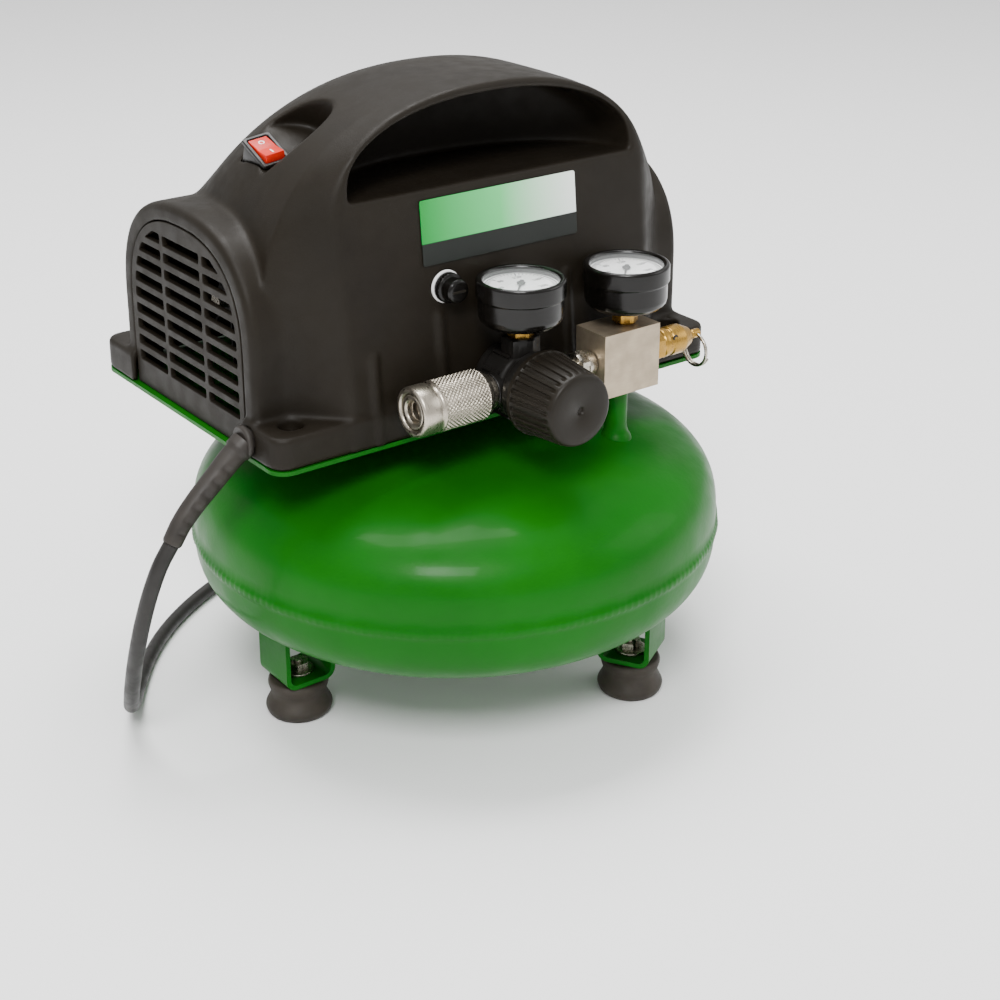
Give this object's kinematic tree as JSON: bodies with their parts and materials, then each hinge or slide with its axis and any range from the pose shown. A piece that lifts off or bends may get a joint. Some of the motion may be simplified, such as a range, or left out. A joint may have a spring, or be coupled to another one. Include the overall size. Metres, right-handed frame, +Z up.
{
  "type": "air compressor",
  "caption": "Small oil-free pancake air compressor: round tank on bobbin feet, moulded hood with grip recess and louvred ends, regulator, gauges, coupler and coiled mains cord.",
  "frame": {"origin": "on the floor under the centre of the round tank, the centre of the object's footprint without its cord", "axes": "+Z up, -Y towards the front with the gauges, +X towards the safety valve"},
  "size_m": [0.3245, 0.3841, 0.315],
  "materials": {
    "green_paint": "semi-gloss enamel",
    "charcoal_plastic": "fine spark texture",
    "black_plastic": "semi-gloss moulded",
    "red_plastic": "gloss moulded",
    "white_print": "satin white",
    "badge_print": "printed label",
    "foot_rubber": "moulded rubber",
    "cord_rubber": "satin jacket",
    "zinc_steel": "zinc plated",
    "cast_aluminium": "milled and cast",
    "brass": "machined brass",
    "clear_lens": "clear"
  },
  "bodies": {
    "chassis": {"tank_upper_shell": "green_paint", "tank_lower_shell": "green_paint", "tank_outlet_pipe": "green_paint", "leg_strap_left": "green_paint", "leg_strap_front_right": "green_paint", "leg_strap_rear_right": "green_paint", "mounting_plate": "green_paint", "rubber_foot_left": "foot_rubber", "rubber_foot_front_right": "foot_rubber", "rubber_foot_rear_right": "foot_rubber", "foot_bolt_left": "zinc_steel", "foot_bolt_front_right": "zinc_steel", "foot_bolt_rear_right": "zinc_steel", "drain_valve_body": "brass", "hood_shell": "charcoal_plastic", "end_grille_left": "charcoal_plastic", "end_grille_right": "charcoal_plastic", "hood_screw_1": "zinc_steel", "hood_screw_2": "zinc_steel", "hood_screw_3": "zinc_steel", "hood_screw_4": "zinc_steel", "front_badge": "badge_print", "switch_bezel": "black_plastic", "fuse_holder": "white_print", "motor_stator": "zinc_steel", "crankcase": "cast_aluminium", "connecting_rod_piston": "cast_aluminium", "cylinder_sleeve": "cast_aluminium", "cylinder_head": "cast_aluminium", "intake_filter": "black_plastic", "discharge_tube": "cast_aluminium", "check_valve": "brass", "manifold_block": "cast_aluminium", "hex_nipple": "zinc_steel", "safety_valve_body": "brass", "regulator_body": "black_plastic", "coupler_body": "zinc_steel", "outlet_gauge_case": "black_plastic", "outlet_gauge_dial": "white_print", "outlet_gauge_lens": "clear_lens", "tank_gauge_case": "black_plastic", "tank_gauge_dial": "white_print", "tank_gauge_lens": "clear_lens", "strain_relief": "cord_rubber", "power_cord": "cord_rubber", "cord_coil": "cord_rubber", "cord_tie": "black_plastic", "power_plug": "cord_rubber"},
    "power_switch": {"switch_rocker": "red_plastic"},
    "fuse_cap": {"fuse_cap": "black_plastic"},
    "pressure_knob": {"regulator_knob": "charcoal_plastic"},
    "quick_sleeve": {"coupler_sleeve": "zinc_steel"},
    "relief_pin": {"safety_valve_pin": "brass"},
    "relief_ring": {"safety_valve_ring": "zinc_steel"},
    "outlet_pointer": {"outlet_gauge_pointer": "black_plastic"},
    "tank_pointer": {"tank_gauge_pointer": "black_plastic"},
    "drain_knob": {"drain_valve_knob": "brass"},
    "motor_shaft": {"motor_rotor": "zinc_steel", "cooling_fan": "black_plastic", "crank_eccentric": "zinc_steel"}
  },
  "joints": [
    {"name": "switch_rock", "type": "hinge", "parent": "chassis", "child": "power_switch", "pos_m": [-0.08891, 0.02395, 0.28308], "axis": [0.9925, 0, 0.1219], "range_deg": [0, 26]},
    {"name": "fuse_cap_turn", "type": "hinge", "parent": "chassis", "child": "fuse_cap", "pos_m": [-0.034, -0.0398, 0.2235], "axis": [0, -1, 0], "range_deg": [0, 90]},
    {"name": "pressure_turn", "type": "hinge", "parent": "chassis", "child": "pressure_knob", "pos_m": [-0.0067, -0.0631, 0.1759], "axis": [0, -1, 0], "range_deg": [-900, 900]},
    {"name": "sleeve_slide", "type": "slide", "parent": "chassis", "child": "quick_sleeve", "axis": [1, 0, 0], "range_m": [0, 0.003], "stiffness_N_per_m": 800},
    {"name": "relief_pull", "type": "slide", "parent": "chassis", "child": "relief_pin", "axis": [1, 0, 0], "range_m": [0, 0.003], "stiffness_N_per_m": 1200},
    {"name": "ring_swing", "type": "hinge", "parent": "relief_pin", "child": "relief_ring", "pos_m": [0.1056, -0.0631, 0.1759], "axis": [0, 1, 0], "range_deg": [-80, 10]},
    {"name": "outlet_pointer_turn", "type": "hinge", "parent": "chassis", "child": "outlet_pointer", "pos_m": [-0.0067, -0.0631, 0.2235], "axis": [0, 0, 1], "range_deg": [-270, 0], "stiffness_Nm_per_rad": 0.0005},
    {"name": "tank_pointer_turn", "type": "hinge", "parent": "chassis", "child": "tank_pointer", "pos_m": [0.058, -0.0631, 0.2184], "axis": [0, 0, 1], "range_deg": [-270, 0], "stiffness_Nm_per_rad": 0.0005},
    {"name": "drain_turn", "type": "hinge", "parent": "chassis", "child": "drain_knob", "pos_m": [0, 0, 0.024], "axis": [0, 0, 1], "range_deg": [0, 360]},
    {"name": "shaft_turn", "type": "hinge", "parent": "chassis", "child": "motor_shaft", "pos_m": [0, 0.052, 0.205], "axis": [1, 0, 0], "continuous": true}
  ]
}
